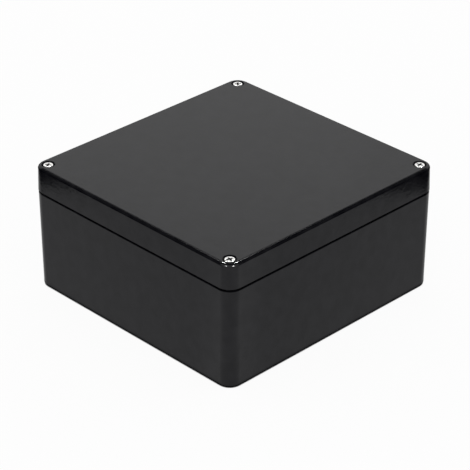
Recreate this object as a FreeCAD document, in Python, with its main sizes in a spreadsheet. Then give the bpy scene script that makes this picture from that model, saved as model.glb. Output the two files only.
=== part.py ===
import FreeCAD, Part
import Sketcher
import math
import os

# Plastic project box: drafted base, tray lid, sealing ring, four screws in four inserts.
# The origin is the middle of the foot, +Z is up, and every size is in millimetres.

# Driving sizes: name, value, what it measures.
SIZES = (
    ("box_width", 188.0, "outside width of the lid at its rim, along X"),
    ("box_length", 192.0, "outside length of the lid at its rim, along Y"),
    ("box_height", 91.0, "foot to lid top"),
    ("lid_height", 18.4, "lid's rim to lid top"),
    ("corner_radius", 9.5, "upright outside corners at the rims"),
    ("base_lean", 0.6, "how far a base side leans in from rim to foot"),
    ("lid_lean", 0.55, "how far a lid side leans in from rim to top"),
    ("lid_overhang", 0.15, "how far the lid's rim stands past the base's rim"),
    ("foot_round", 1.8, "rounding of the base's lower outside edge"),
    ("top_round", 2.3, "rounding of the lid's upper outside edge"),
    ("rim_chamfer", 0.35, "broken outside edges of both rims"),
    ("base_wall", 3.5, "wall of the base at its rim"),
    ("floor_thickness", 3.0, "floor of the base"),
    ("lid_top", 3.0, "top plate of the lid"),
    ("lid_rib", 1.6, "rib inside the gasket groove"),
    ("seam_gap", 1.2, "open height between the two rims"),
    ("seam_depth", 1.75, "how far that gap runs in, up to the land"),
    ("tongue_width", 1.75, "sealing tongue on the base's rim"),
    ("tongue_height", 2.0, "sealing tongue above the land that carries the lid"),
    ("groove_clearance", 0.25, "air on each side of the tongue in the groove"),
    ("gasket_height", 2.5, "sealing ring from the tongue to the groove's roof"),
    ("gasket_clearance", 0.1, "air on each side of the sealing ring"),
    ("seal_corner_round", 3.0, "outward corners of the sealed space"),
    ("seal_notch_round", 5.0, "inward corners where the seal passes a post"),
    ("screw_inset", 8.0, "screw axis from the lid's nominal sides"),
    ("fixing_offset", 14.0, "wall fixing hole from the screw axis, along Y"),
    ("fixing_diameter", 4.5, "wall fixing hole"),
    ("well_length", 14.0, "well over a wall fixing hole, along Y"),
    ("thread_diameter", 4.0, "lid screw's shank"),
    ("screw_length", 25.0, "lid screw under its head"),
    ("head_diameter", 6.8, "lid screw's head"),
    ("head_height", 2.6, "lid screw's head"),
    ("head_chamfer", 0.5, "upper edge of the head"),
    ("head_sink", 0.2, "head's top below the lid's top"),
    ("counterbore_diameter", 8.8, "well round the head"),
    ("counterbore_chamfer", 0.3, "mouth of that well"),
    ("clearance_diameter", 4.5, "screw hole through the lid"),
    ("recess_span", 4.8, "cross recess, tip to tip"),
    ("recess_wing", 1.4, "width of a wing of the recess"),
    ("recess_depth", 1.8, "depth of the cross recess"),
    ("insert_diameter", 6.0, "threaded insert"),
    ("insert_length", 8.0, "threaded insert"),
    ("insert_sink", 0.3, "insert's top below the post's top"),
    ("insert_clearance", 0.02, "air round the insert in its post"),
    ("thread_clearance", 0.05, "air round the shank in the insert"),
    ("relief_depth", 6.0, "hole in the post below the insert"),
    ("board_spacing_x", 140.0, "board posts, along X"),
    ("board_spacing_y", 100.0, "board posts, along Y"),
    ("board_post_diameter", 7.0, "board post"),
    ("board_post_height", 6.0, "board post above the floor"),
    ("board_pilot_diameter", 2.7, "pilot hole in a board post"),
    ("board_pilot_depth", 6.0, "pilot hole in a board post"),
)

# Corners by their place seen from the front: side along X, side along Y, turn of the recess.
CORNERS = {
    "left": (-1, -1, 32.0),
    "front": (1, -1, -13.0),
    "right": (1, 1, 12.0),
    "back": (-1, 1, 50.0),
}

# Half sizes and places, as expressions over the sheet.
LID_X = "Sizes.box_width / 2"
LID_Y = "Sizes.box_length / 2"
BASE_X = f"({LID_X} - Sizes.lid_overhang)"
BASE_Y = f"({LID_Y} - Sizes.lid_overhang)"
CAVITY_X = f"({BASE_X} - Sizes.base_wall)"
CAVITY_Y = f"({BASE_Y} - Sizes.base_wall)"
SCREW_X = f"({LID_X} - Sizes.screw_inset)"
SCREW_Y = f"({LID_Y} - Sizes.screw_inset)"
FIXING_Y = f"({SCREW_Y} - Sizes.fixing_offset)"
WELL_INNER_X = f"(2 * {SCREW_X} - {CAVITY_X})"
WELL_INNER_Y = f"({FIXING_Y} - Sizes.well_length / 2)"
WELL_OUTER_Y = f"({FIXING_Y} + Sizes.well_length / 2)"
NOTCH_X = f"({WELL_INNER_X} - Sizes.base_wall)"
NOTCH_Y = f"({WELL_INNER_Y} - Sizes.base_wall)"

# Levels along Z.
LID_RIM = "(Sizes.box_height - Sizes.lid_height)"
BASE_RIM = f"({LID_RIM} - Sizes.seam_gap)"
TONGUE_TOP = f"({LID_RIM} + Sizes.tongue_height)"
GROOVE_ROOF = f"({TONGUE_TOP} + Sizes.gasket_height)"
LID_CEILING = "(Sizes.box_height - Sizes.lid_top)"
HEAD_SEAT = "(Sizes.box_height - Sizes.head_sink - Sizes.head_height)"
INSERT_TOP = f"({LID_RIM} - Sizes.insert_sink)"

# Geometry numbers that a sketch gives to its own level and upright axes, and its point numbers.
LEVEL_AXIS, UPRIGHT_AXIS = -1, -2
START, END, CENTRE = range(1, 4)

# Levels and places nearer than this are the same.
TOUCHING = 0.001

doc = FreeCAD.newDocument("project_box")


def make_sheet():
    """Write the driving sizes, one row each, with an alias."""
    sheet = doc.addObject("Spreadsheet::Sheet", "Sizes")
    for row, (name, value, meaning) in enumerate(SIZES, start=1):
        sheet.set(f"A{row}", name)
        sheet.set(f"B{row}", str(value))
        sheet.set(f"C{row}", meaning)
        sheet.setAlias(f"B{row}", name)
    doc.recompute()
    return sheet


sheet = make_sheet()


def value_of(expression):
    """Number that an expression over the sheet gives."""
    return float(sheet.evalExpression(expression))


def new_body(label):
    body = doc.addObject("PartDesign::Body", label)
    body.Label = label
    return body


def new_sketch(body, name, level="0", plane="XY_Plane"):
    """Sketch on one of the body's own origin planes, moved along its normal to a level."""
    sketch = body.newObject("Sketcher::SketchObject", name)
    support = next(item for item in body.Origin.OriginFeatures if item.Role == plane)
    sketch.AttachmentSupport = (support, [""])
    sketch.MapMode = "FlatFace"
    sketch.setExpression("AttachmentOffset.Base.z", level)
    doc.recompute()
    return sketch


def tie(sketch, constraint, expression):
    """Add a constraint whose size follows the sheet."""
    index = sketch.addConstraint(constraint)
    sketch.setExpression(f"Constraints[{index}]", expression)


def tie_along(sketch, kind, geometry, point, expression):
    """Hold a point at a signed distance from the sketch's origin, along X or along Y."""
    amount = value_of(expression)
    if abs(amount) < TOUCHING:
        axis = UPRIGHT_AXIS if kind == "DistanceX" else LEVEL_AXIS
        sketch.addConstraint(Sketcher.Constraint("PointOnObject", geometry, point, axis))
    elif amount > 0:
        rule = Sketcher.Constraint(kind, LEVEL_AXIS, START, geometry, point, amount)
        tie(sketch, rule, expression)
    else:
        rule = Sketcher.Constraint(kind, geometry, point, LEVEL_AXIS, START, -amount)
        tie(sketch, rule, f"-({expression})")


def draw_circles(sketch, centres, diameter):
    """Equal circles, each centre given by two expressions."""
    radius = value_of(diameter) / 2
    first = None
    for centre_x, centre_y in centres:
        place = FreeCAD.Vector(value_of(centre_x), value_of(centre_y), 0)
        circle = sketch.addGeometry(Part.Circle(place, FreeCAD.Vector(0, 0, 1), radius))
        tie_along(sketch, "DistanceX", circle, CENTRE, centre_x)
        tie_along(sketch, "DistanceY", circle, CENTRE, centre_y)
        if first is None:
            first = circle
            tie(sketch, Sketcher.Constraint("Diameter", circle, 2 * radius), diameter)
        else:
            sketch.addConstraint(Sketcher.Constraint("Equal", first, circle))


def draw_polygon(sketch, points):
    """Closed outline of straight lines, each corner given by two expressions."""
    places = [FreeCAD.Vector(value_of(x), value_of(y), 0) for x, y in points]
    count = len(places)
    lines = [
        sketch.addGeometry(Part.LineSegment(places[i], places[(i + 1) % count]))
        for i in range(count)
    ]
    for i, (x, y) in enumerate(points):
        following = lines[(i + 1) % count]
        sketch.addConstraint(Sketcher.Constraint("Coincident", lines[i], END, following, START))
        tie_along(sketch, "DistanceX", lines[i], START, x)
        tie_along(sketch, "DistanceY", lines[i], START, y)


def draw_outline(sketch, corners):
    """Closed outline of level and upright lines that meet in tangent arcs.

    Each corner is three expressions: x, y and the radius of its arc.
    """
    count = len(corners)
    places = [FreeCAD.Vector(value_of(x), value_of(y), 0) for x, y, _ in corners]
    radii = [value_of(radius) for _, _, radius in corners]
    ways = [(places[(i + 1) % count] - places[i]).normalize() for i in range(count)]
    lines = []
    for i in range(count):
        after = (i + 1) % count
        begin = places[i] + ways[i] * radii[i]
        finish = places[after] - ways[i] * radii[after]
        lines.append(sketch.addGeometry(Part.LineSegment(begin, finish)))
    rules = []
    arcs = []
    for i in range(count):
        before = ways[i - 1]
        turn = before.x * ways[i].y - before.y * ways[i].x
        centre = places[i] - before * radii[i] + ways[i] * radii[i]
        circle = Part.Circle(centre, FreeCAD.Vector(0, 0, 1), radii[i])
        outward = -ways[i] if turn > 0 else before
        begin_angle = math.atan2(outward.y, outward.x)
        arc = sketch.addGeometry(Part.ArcOfCircle(circle, begin_angle, begin_angle + math.pi / 2))
        arcs.append(arc)
        enters, leaves = (START, END) if turn > 0 else (END, START)
        rules.append(Sketcher.Constraint("Tangent", lines[i - 1], END, arc, enters))
        rules.append(Sketcher.Constraint("Tangent", arc, leaves, lines[i], START))
        direction = "Horizontal" if abs(ways[i].y) < abs(ways[i].x) else "Vertical"
        rules.append(Sketcher.Constraint(direction, lines[i]))
    sketch.addConstraint(rules)
    first_with = {}
    for i, (x, y, radius) in enumerate(corners):
        if abs(ways[i].y) < abs(ways[i].x):
            tie_along(sketch, "DistanceY", lines[i], START, y)
        else:
            tie_along(sketch, "DistanceX", lines[i], START, x)
        if radius in first_with:
            sketch.addConstraint(Sketcher.Constraint("Equal", first_with[radius], arcs[i]))
        else:
            first_with[radius] = arcs[i]
            tie(sketch, Sketcher.Constraint("Radius", arcs[i], radii[i]), radius)


def outer_corners(half_x, half_y, inset="0"):
    """Rounded rectangle about the origin, moved in by an inset together with its corner arcs."""
    across = f"({half_x} - {inset})"
    along = f"({half_y} - {inset})"
    radius = f"Sizes.corner_radius - {inset}"
    return [
        (across, f"-{along}", radius),
        (across, along, radius),
        (f"-{across}", along, radius),
        (f"-{across}", f"-{along}", radius),
    ]


def seal_corners(offset):
    """Outline of the sealed space, which steps in past the posts, moved out by an offset."""
    far_x = f"({CAVITY_X} + {offset})"
    far_y = f"({CAVITY_Y} + {offset})"
    near_x = f"({NOTCH_X} + {offset})"
    near_y = f"({NOTCH_Y} + {offset})"
    convex = f"Sizes.seal_corner_round + {offset}"
    hollow = f"Sizes.seal_notch_round - {offset}"
    return [
        (far_x, f"-{near_y}", convex),
        (far_x, near_y, convex),
        (near_x, near_y, hollow),
        (near_x, far_y, convex),
        (f"-{near_x}", far_y, convex),
        (f"-{near_x}", near_y, hollow),
        (f"-{far_x}", near_y, convex),
        (f"-{far_x}", f"-{near_y}", convex),
        (f"-{near_x}", f"-{near_y}", hollow),
        (f"-{near_x}", f"-{far_y}", convex),
        (near_x, f"-{far_y}", convex),
        (near_x, f"-{near_y}", hollow),
    ]


def four_places(across, along):
    """The same place in each corner of the box."""
    return [(f"{side_x} * {across}", f"{side_y} * {along}") for side_x, side_y, _ in CORNERS.values()]


def draw_wells(sketch):
    """One square well over each wall fixing hole."""
    for side_x, side_y, _ in CORNERS.values():
        inner_x, outer_x = f"{side_x} * {WELL_INNER_X}", f"{side_x} * {CAVITY_X}"
        inner_y, outer_y = f"{side_y} * {WELL_INNER_Y}", f"{side_y} * {WELL_OUTER_Y}"
        draw_polygon(sketch, [
            (inner_x, inner_y),
            (outer_x, inner_y),
            (outer_x, outer_y),
            (inner_x, outer_y),
        ])


def extrude(body, kind, name, sketch, length, upward):
    """Pad or pocket a sketch up or down by an expression."""
    feature = body.newObject(f"PartDesign::{kind}", name)
    feature.Profile = sketch
    feature.setExpression("Length", length)
    feature.Reversed = upward if kind == "Pocket" else not upward
    doc.recompute()
    return feature


def dress_edges(body, kind, name, size, chosen):
    """Fillet or chamfer the edges of the body's tip that a test on the edge picks out."""
    base = body.Tip
    names = [f"Edge{i}" for i, edge in enumerate(base.Shape.Edges, start=1) if chosen(edge)]
    feature = body.newObject(f"PartDesign::{kind}", name)
    feature.Base = (base, names)
    feature.setExpression("Radius" if kind == "Fillet" else "Size", size)
    doc.recompute()
    return feature


def lies_at(item, level):
    """True where a whole edge or face lies at a level."""
    box = item.BoundBox
    return abs(box.ZMin - level) < TOUCHING and abs(box.ZMax - level) < TOUCHING


def lean_sides(body, name, lean, rise, level, downward):
    """Lean the upright faces of the body's tip inwards, going down or up from the face at a level."""
    base = body.Tip
    faces = list(enumerate(base.Shape.Faces, start=1))
    sides = [f"Face{i}" for i, face in faces if face.BoundBox.ZLength > TOUCHING]
    still = next(f"Face{i}" for i, face in faces if lies_at(face, level))
    feature = body.newObject("PartDesign::Draft", name)
    feature.Base = (base, sides)
    feature.NeutralPlane = (base, [still])
    feature.setExpression("Angle", f"atan({lean} / ({rise}))")
    feature.Reversed = downward
    doc.recompute()
    return feature


def revolve(body, name, points):
    """Turn a half section of straight lines about Z; points are expressions for radius and height."""
    sketch = new_sketch(body, f"{name}_section", plane="XZ_Plane")
    draw_polygon(sketch, points)
    feature = body.newObject("PartDesign::Revolution", name)
    feature.Profile = sketch
    feature.ReferenceAxis = (sketch, ["V_Axis"])
    feature.Angle = 360.0
    doc.recompute()
    return feature


def make_base():
    """Tub with leaning sides, a notched sealed space, wells, posts, a tongue and board posts."""
    body = new_body("base")
    rim = new_sketch(body, "base_rim_outline", BASE_RIM)
    draw_outline(rim, outer_corners(BASE_X, BASE_Y))
    extrude(body, "Pad", "base_block", rim, BASE_RIM, upward=False)
    rim_level = value_of(BASE_RIM)
    lean_sides(body, "base_sides", "Sizes.base_lean", BASE_RIM, rim_level, downward=True)
    dress_edges(body, "Fillet", "base_foot_round", "Sizes.foot_round", lambda edge: lies_at(edge, 0))
    dress_edges(
        body, "Chamfer", "base_rim_edge", "Sizes.rim_chamfer", lambda edge: lies_at(edge, rim_level)
    )

    land = new_sketch(body, "base_land_outline", BASE_RIM)
    draw_outline(land, outer_corners(BASE_X, BASE_Y, "Sizes.seam_depth"))
    extrude(body, "Pad", "base_land", land, "Sizes.seam_gap", upward=True)

    inside = new_sketch(body, "base_cavity_outline", LID_RIM)
    draw_outline(inside, seal_corners("0"))
    depth = f"{LID_RIM} - Sizes.floor_thickness"
    extrude(body, "Pocket", "base_cavity", inside, depth, upward=False)

    wells = new_sketch(body, "base_well_outlines", LID_RIM)
    draw_wells(wells)
    extrude(body, "Pocket", "base_wells", wells, depth, upward=False)

    ring = new_sketch(body, "base_tongue_outlines", LID_RIM)
    draw_outline(ring, seal_corners("0"))
    draw_outline(ring, seal_corners("Sizes.tongue_width"))
    extrude(body, "Pad", "base_tongue", ring, "Sizes.tongue_height", upward=True)

    holes = new_sketch(body, "base_insert_holes", LID_RIM)
    draw_circles(holes, four_places(SCREW_X, SCREW_Y), "Sizes.insert_diameter + 2 * Sizes.insert_clearance")
    hole_depth = "Sizes.insert_sink + Sizes.insert_length + Sizes.relief_depth"
    extrude(body, "Pocket", "base_insert_seats", holes, hole_depth, upward=False)

    fixings = new_sketch(body, "base_fixing_holes")
    draw_circles(fixings, four_places(SCREW_X, FIXING_Y), "Sizes.fixing_diameter")
    extrude(body, "Pocket", "base_fixings", fixings, "Sizes.floor_thickness", upward=True)

    posts = new_sketch(body, "board_post_outlines", "Sizes.floor_thickness")
    board_places = four_places("Sizes.board_spacing_x / 2", "Sizes.board_spacing_y / 2")
    draw_circles(posts, board_places, "Sizes.board_post_diameter")
    extrude(body, "Pad", "board_posts", posts, "Sizes.board_post_height", upward=True)
    post_top = "Sizes.floor_thickness + Sizes.board_post_height"
    pilots = new_sketch(body, "board_pilot_outlines", post_top)
    draw_circles(pilots, board_places, "Sizes.board_pilot_diameter")
    extrude(body, "Pocket", "board_pilots", pilots, "Sizes.board_pilot_depth", upward=False)
    return body


def make_lid():
    """Tray with leaning sides, a rounded top edge, a gasket groove and counterbored screw holes."""
    body = new_body("lid")
    rim = new_sketch(body, "lid_rim_outline", LID_RIM)
    draw_outline(rim, outer_corners(LID_X, LID_Y))
    rise = f"(Sizes.box_height - {LID_RIM})"
    extrude(body, "Pad", "lid_block", rim, rise, upward=True)
    top_level = value_of("Sizes.box_height")
    rim_level = value_of(LID_RIM)
    lean_sides(body, "lid_sides", "Sizes.lid_lean", rise, rim_level, downward=False)
    dress_edges(body, "Fillet", "lid_top_round", "Sizes.top_round", lambda edge: lies_at(edge, top_level))
    dress_edges(
        body, "Chamfer", "lid_rim_edge", "Sizes.rim_chamfer", lambda edge: lies_at(edge, rim_level)
    )

    ceiling_depth = f"{LID_CEILING} - {LID_RIM}"
    inside = new_sketch(body, "lid_cavity_outline", LID_RIM)
    draw_outline(inside, seal_corners("(0 - Sizes.groove_clearance - Sizes.lid_rib)"))
    extrude(body, "Pocket", "lid_cavity", inside, ceiling_depth, upward=True)

    wells = new_sketch(body, "lid_well_outlines", LID_RIM)
    draw_wells(wells)
    extrude(body, "Pocket", "lid_wells", wells, ceiling_depth, upward=True)

    groove = new_sketch(body, "lid_groove_outlines", LID_RIM)
    draw_outline(groove, seal_corners("(0 - Sizes.groove_clearance)"))
    draw_outline(groove, seal_corners("(Sizes.tongue_width + Sizes.groove_clearance)"))
    extrude(body, "Pocket", "lid_groove", groove, f"{GROOVE_ROOF} - {LID_RIM}", upward=True)

    heads = new_sketch(body, "lid_counterbores", "Sizes.box_height")
    draw_circles(heads, four_places(SCREW_X, SCREW_Y), "Sizes.counterbore_diameter")
    extrude(body, "Pocket", "lid_head_wells", heads, f"Sizes.box_height - {HEAD_SEAT}", upward=False)
    shanks = new_sketch(body, "lid_screw_holes", "Sizes.box_height")
    draw_circles(shanks, four_places(SCREW_X, SCREW_Y), "Sizes.clearance_diameter")
    extrude(body, "Pocket", "lid_shank_holes", shanks, "Sizes.lid_height", upward=False)
    mouth = value_of("Sizes.counterbore_diameter")
    dress_edges(
        body,
        "Chamfer",
        "lid_head_well_mouth",
        "Sizes.counterbore_chamfer",
        lambda edge: lies_at(edge, top_level) and abs(edge.BoundBox.XLength - mouth) < TOUCHING,
    )
    return body


def make_gasket():
    """Sealing ring that fills the groove over the tongue."""
    body = new_body("lid_gasket")
    ring = new_sketch(body, "gasket_outlines", TONGUE_TOP)
    draw_outline(ring, seal_corners("(Sizes.gasket_clearance - Sizes.groove_clearance)"))
    outer = "(Sizes.tongue_width + Sizes.groove_clearance - Sizes.gasket_clearance)"
    draw_outline(ring, seal_corners(outer))
    extrude(body, "Pad", "gasket_ring", ring, "Sizes.gasket_height", upward=True)
    return body


def cross_points():
    """Corners of the plus-shaped recess."""
    reach = "(Sizes.recess_span / 2)"
    wing = "(Sizes.recess_wing / 2)"
    return [
        (reach, f"-{wing}"),
        (reach, wing),
        (wing, wing),
        (wing, reach),
        (f"-{wing}", reach),
        (f"-{wing}", wing),
        (f"-{reach}", wing),
        (f"-{reach}", f"-{wing}"),
        (f"-{wing}", f"-{wing}"),
        (f"-{wing}", f"-{reach}"),
        (wing, f"-{reach}"),
        (wing, f"-{wing}"),
    ]


def place_at_corner(body, corner, level):
    """Put a turned piece on a post's axis; its own origin goes to the level."""
    side_x, side_y, turn = CORNERS[corner]
    body.setExpression("Placement.Base.x", f"{side_x} * {SCREW_X}")
    body.setExpression("Placement.Base.y", f"{side_y} * {SCREW_Y}")
    body.setExpression("Placement.Base.z", level)
    body.Placement.Rotation = FreeCAD.Rotation(FreeCAD.Vector(0, 0, 1), turn)


def make_screw(corner):
    """Cheese-head screw with a cross recess; its origin is under the head."""
    body = new_body(f"lid_screw_{corner}")
    shank = "Sizes.thread_diameter / 2"
    head = "Sizes.head_diameter / 2"
    revolve(body, f"{body.Label}_turned", [
        ("0", "-Sizes.screw_length"),
        (shank, "-Sizes.screw_length"),
        (shank, "0"),
        (head, "0"),
        (head, "Sizes.head_height - Sizes.head_chamfer"),
        (f"{head} - Sizes.head_chamfer", "Sizes.head_height"),
        ("0", "Sizes.head_height"),
    ])
    cross = new_sketch(body, f"{body.Label}_recess_outline", "Sizes.head_height")
    draw_polygon(cross, cross_points())
    extrude(body, "Pocket", f"{body.Label}_recess", cross, "Sizes.recess_depth", upward=False)
    place_at_corner(body, corner, HEAD_SEAT)
    return body


def make_insert(corner):
    """Threaded insert; its origin is its top."""
    body = new_body(f"insert_{corner}")
    bore = "(Sizes.thread_diameter / 2 + Sizes.thread_clearance)"
    wall = "Sizes.insert_diameter / 2"
    revolve(body, f"{body.Label}_turned", [
        (bore, "-Sizes.insert_length"),
        (wall, "-Sizes.insert_length"),
        (wall, "0"),
        (bore, "0"),
    ])
    place_at_corner(body, corner, INSERT_TOP)
    return body


def check_document(bodies):
    """Stop if a feature failed, a shape isn't one sound solid, or a cut removed nothing."""
    for item in doc.Objects:
        if "Invalid" in item.State or "Error" in item.State:
            raise RuntimeError(f"{item.Label} didn't recompute: {item.State}")
    for body in bodies:
        if body.Shape.isNull() or not body.Shape.isValid() or len(body.Shape.Solids) != 1:
            raise RuntimeError(f"{body.Label} isn't one sound solid")
        for feature in body.Group:
            if feature.TypeId != "PartDesign::Pocket":
                continue
            if math.isclose(feature.Shape.Volume, feature.BaseFeature.Shape.Volume):
                raise RuntimeError(f"{feature.Label} cut nothing")


bodies = [make_base(), make_lid(), make_gasket()]
bodies += [make_screw(corner) for corner in CORNERS]
bodies += [make_insert(corner) for corner in CORNERS]
doc.recompute()
check_document(bodies)

os.makedirs("parts", exist_ok=True)
for body in bodies:
    body.Shape.exportStep(f"parts/{body.Label}.step")
    print(body.Label, round(body.Shape.Volume, 1))
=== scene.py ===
import math

import bmesh
import bpy
import numpy as np
from bpy.props import FloatProperty, FloatVectorProperty, IntProperty, PointerProperty
from mathutils import Matrix, Vector


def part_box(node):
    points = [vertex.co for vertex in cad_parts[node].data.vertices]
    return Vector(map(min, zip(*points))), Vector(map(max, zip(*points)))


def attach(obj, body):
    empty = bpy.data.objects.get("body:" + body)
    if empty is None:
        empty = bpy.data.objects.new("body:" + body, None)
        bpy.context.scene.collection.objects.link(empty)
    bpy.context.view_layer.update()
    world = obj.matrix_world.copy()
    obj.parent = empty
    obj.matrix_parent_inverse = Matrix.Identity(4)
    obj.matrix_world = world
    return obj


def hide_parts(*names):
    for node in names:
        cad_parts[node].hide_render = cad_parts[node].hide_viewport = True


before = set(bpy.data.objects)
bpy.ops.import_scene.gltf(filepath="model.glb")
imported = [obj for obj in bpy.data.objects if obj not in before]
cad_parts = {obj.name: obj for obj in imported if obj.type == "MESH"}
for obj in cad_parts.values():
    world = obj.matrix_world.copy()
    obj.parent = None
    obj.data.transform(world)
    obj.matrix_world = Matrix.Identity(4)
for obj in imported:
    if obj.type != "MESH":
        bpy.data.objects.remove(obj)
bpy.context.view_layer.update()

bl_info = {
    "name": "Project box",
    "version": (1, 0, 0),
    "blender": (4, 5, 0),
    "location": "3D View > Sidebar > Project box",
    "description": "Finishes the plastic project box, its screws, inserts and seal, and lights them",
    "category": "Object",
}

# Everything is in metres: +Z is up and the origin is the middle of the box's foot.
MM = 0.001
FULL_TURN = 2 * math.pi
QUARTER_TURN = math.pi / 2

# Corners by their place seen from the front, with the angle in degrees at which each screw stopped.
CORNERS = {"left": 32.0, "front": -13.0, "right": 12.0, "back": 50.0}

# Lowest and highest corners of the carried pieces, from model.glb.
SCREW_BOXES = {corner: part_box(f"lid_screw_{corner}") for corner in CORNERS}
INSERT_BOXES = {corner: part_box(f"insert_{corner}") for corner in CORNERS}
GASKET_LOW, GASKET_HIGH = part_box("lid_gasket")

# How finely the small forms are cut.
RECESS_RINGS = 5         # from the foot of a screw's recess to its mouth
THREAD_RINGS = 8         # to each turn of a thread
TOOTH_COLUMNS = 4        # to each tooth of a knurl


def axis_of(box):
    """Place of an upright piece's axis, from its lowest and highest corners."""
    low, high = box
    return (low.x + high.x) / 2, (low.y + high.y) / 2


class MouldingSettings(bpy.types.PropertyGroup):
    """Finish of the base and the lid."""

    dark: FloatVectorProperty(
        name="Darker black", description="Darker tone of the moulded plastic",
        subtype="COLOR", size=3, min=0, max=1, default=(0.0018, 0.0018, 0.0032),
    )
    pale: FloatVectorProperty(
        name="Lighter black", description="Lighter tone of the moulded plastic",
        subtype="COLOR", size=3, min=0, max=1, default=(0.0060, 0.0060, 0.0078),
    )
    tone_size: FloatProperty(
        name="Tone size", description="Width of the patches of the two tones",
        subtype="DISTANCE", default=8 * MM,
    )
    sheen_size: FloatProperty(
        name="Sheen size", description="Width of the patches of smoother and duller surface",
        subtype="DISTANCE", default=14 * MM,
    )
    gloss: FloatProperty(
        name="Smooth roughness", description="Roughness where the tool was polished best",
        min=0, max=1, default=0.135,
    )
    satin: FloatProperty(
        name="Satin roughness", description="Roughness where the surface is duller",
        min=0, max=1, default=0.165,
    )
    refraction: FloatProperty(
        name="Refractive index", description="Sets how strongly the plastic mirrors",
        min=1, max=2, default=1.31,
    )
    grain_size: FloatProperty(
        name="Grain size", description="Width of one grain of the tool's texture",
        subtype="DISTANCE", default=0.35 * MM,
    )
    grain_depth: FloatProperty(
        name="Grain depth", description="Depth of the tool's texture",
        subtype="DISTANCE", default=0.004 * MM,
    )
    peel_size: FloatProperty(
        name="Orange peel size", description="Width of the shallow dimples of a thick moulding",
        subtype="DISTANCE", default=2.6 * MM,
    )
    peel_depth: FloatProperty(
        name="Orange peel depth", description="Depth of those dimples",
        subtype="DISTANCE", default=0.05 * MM,
    )
    flow_size: FloatProperty(
        name="Flow mark size", description="Width of the slow waves that cooling leaves",
        subtype="DISTANCE", default=24 * MM,
    )
    flow_depth: FloatProperty(
        name="Flow mark depth", description="Depth of those waves",
        subtype="DISTANCE", default=0.01 * MM,
    )
    crease: FloatProperty(
        name="Crease angle", description="Edges sharper than this stay sharp",
        subtype="ANGLE", default=math.radians(28),
    )


class ScrewSettings(bpy.types.PropertyGroup):
    """Form and finish of the lid screws."""

    head_height: FloatProperty(
        name="Head height", description="From the seat to the top of the head",
        subtype="DISTANCE", default=2.6 * MM,
    )
    edge_round: FloatProperty(
        name="Edge round", description="Rounding of the head's upper edge",
        subtype="DISTANCE", default=0.5 * MM,
    )
    crown: FloatProperty(
        name="Crown", description="How far the head's face falls from its middle to its edge",
        subtype="DISTANCE", default=0.06 * MM,
    )
    chamfer: FloatProperty(
        name="Chamfer", description="Chamfer of the head's lower edge and of the neck's upper end",
        subtype="DISTANCE", default=0.12 * MM,
    )
    recess_span: FloatProperty(
        name="Recess span", description="Cross recess from tip to tip",
        subtype="DISTANCE", default=4.8 * MM,
    )
    recess_wing: FloatProperty(
        name="Recess wing", description="Width of a wing of the recess",
        subtype="DISTANCE", default=1.4 * MM,
    )
    recess_depth: FloatProperty(
        name="Recess depth", description="Depth of the recess at its walls' foot",
        subtype="DISTANCE", default=1.5 * MM,
    )
    recess_point: FloatProperty(
        name="Recess point", description="How much deeper the middle of the recess is",
        subtype="DISTANCE", default=0.3 * MM,
    )
    recess_taper: FloatProperty(
        name="Recess taper", description="Size of the recess at its foot, as a share of its mouth",
        min=0.1, max=1, default=0.62,
    )
    shank_radius: FloatProperty(
        name="Thread radius", description="Outer radius of the thread",
        subtype="DISTANCE", default=2.0 * MM,
    )
    pitch: FloatProperty(
        name="Thread pitch", description="Height of one turn of the thread",
        subtype="DISTANCE", default=0.7 * MM,
    )
    thread_depth: FloatProperty(
        name="Thread depth", description="From the crest to the root of the thread",
        subtype="DISTANCE", default=0.41 * MM,
    )
    colour: FloatVectorProperty(
        name="Plating", description="Colour of the bright plating",
        subtype="COLOR", size=3, min=0, max=1, default=(0.88, 0.875, 0.86),
    )
    roughness: FloatProperty(
        name="Roughness", description="Roughness of the plating",
        min=0, max=1, default=0.24,
    )
    rolled: FloatVectorProperty(
        name="Rolled steel", description="Greyer plating on the shank and its thread",
        subtype="COLOR", size=3, min=0, max=1, default=(0.36, 0.355, 0.345),
    )
    # Painted shade: a dark colour down in the cross recess that stands in for the shadow there.
    recess_shade: FloatVectorProperty(
        name="Shaded steel", description="Darker plating down in the cross recess",
        subtype="COLOR", size=3, min=0, max=1, default=(0.035, 0.034, 0.033),
    )


class InsertSettings(bpy.types.PropertyGroup):
    """Form and finish of the threaded inserts."""

    teeth: IntProperty(name="Knurl teeth", description="Teeth round the insert", min=8, default=24)
    knurl_depth: FloatProperty(
        name="Knurl depth", description="Depth between two teeth",
        subtype="DISTANCE", default=0.2 * MM,
    )
    waist_depth: FloatProperty(
        name="Waist depth", description="Depth of the plain waist between the two knurled bands",
        subtype="DISTANCE", default=0.4 * MM,
    )
    waist_start: FloatProperty(
        name="Waist start", description="Where the waist starts, as a share of the length from the top",
        min=0, max=1, default=0.36,
    )
    waist_end: FloatProperty(
        name="Waist end", description="Where the waist ends, as a share of the length from the top",
        min=0, max=1, default=0.58,
    )
    waist_slope: FloatProperty(
        name="Waist slope", description="Share of the length over which the waist reaches its depth",
        min=0.01, max=0.1, default=0.04,
    )
    edge: FloatProperty(
        name="Edge", description="Broken edges of the insert",
        subtype="DISTANCE", default=0.25 * MM,
    )
    bore_air: FloatProperty(
        name="Thread air", description="Air between the two threads",
        subtype="DISTANCE", default=0.04 * MM,
    )
    colour: FloatVectorProperty(
        name="Brass", description="Colour of the turned brass",
        subtype="COLOR", size=3, min=0, max=1, default=(0.72, 0.52, 0.22),
    )
    roughness: FloatProperty(
        name="Roughness", description="Roughness of the turned brass",
        min=0, max=1, default=0.3,
    )


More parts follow.
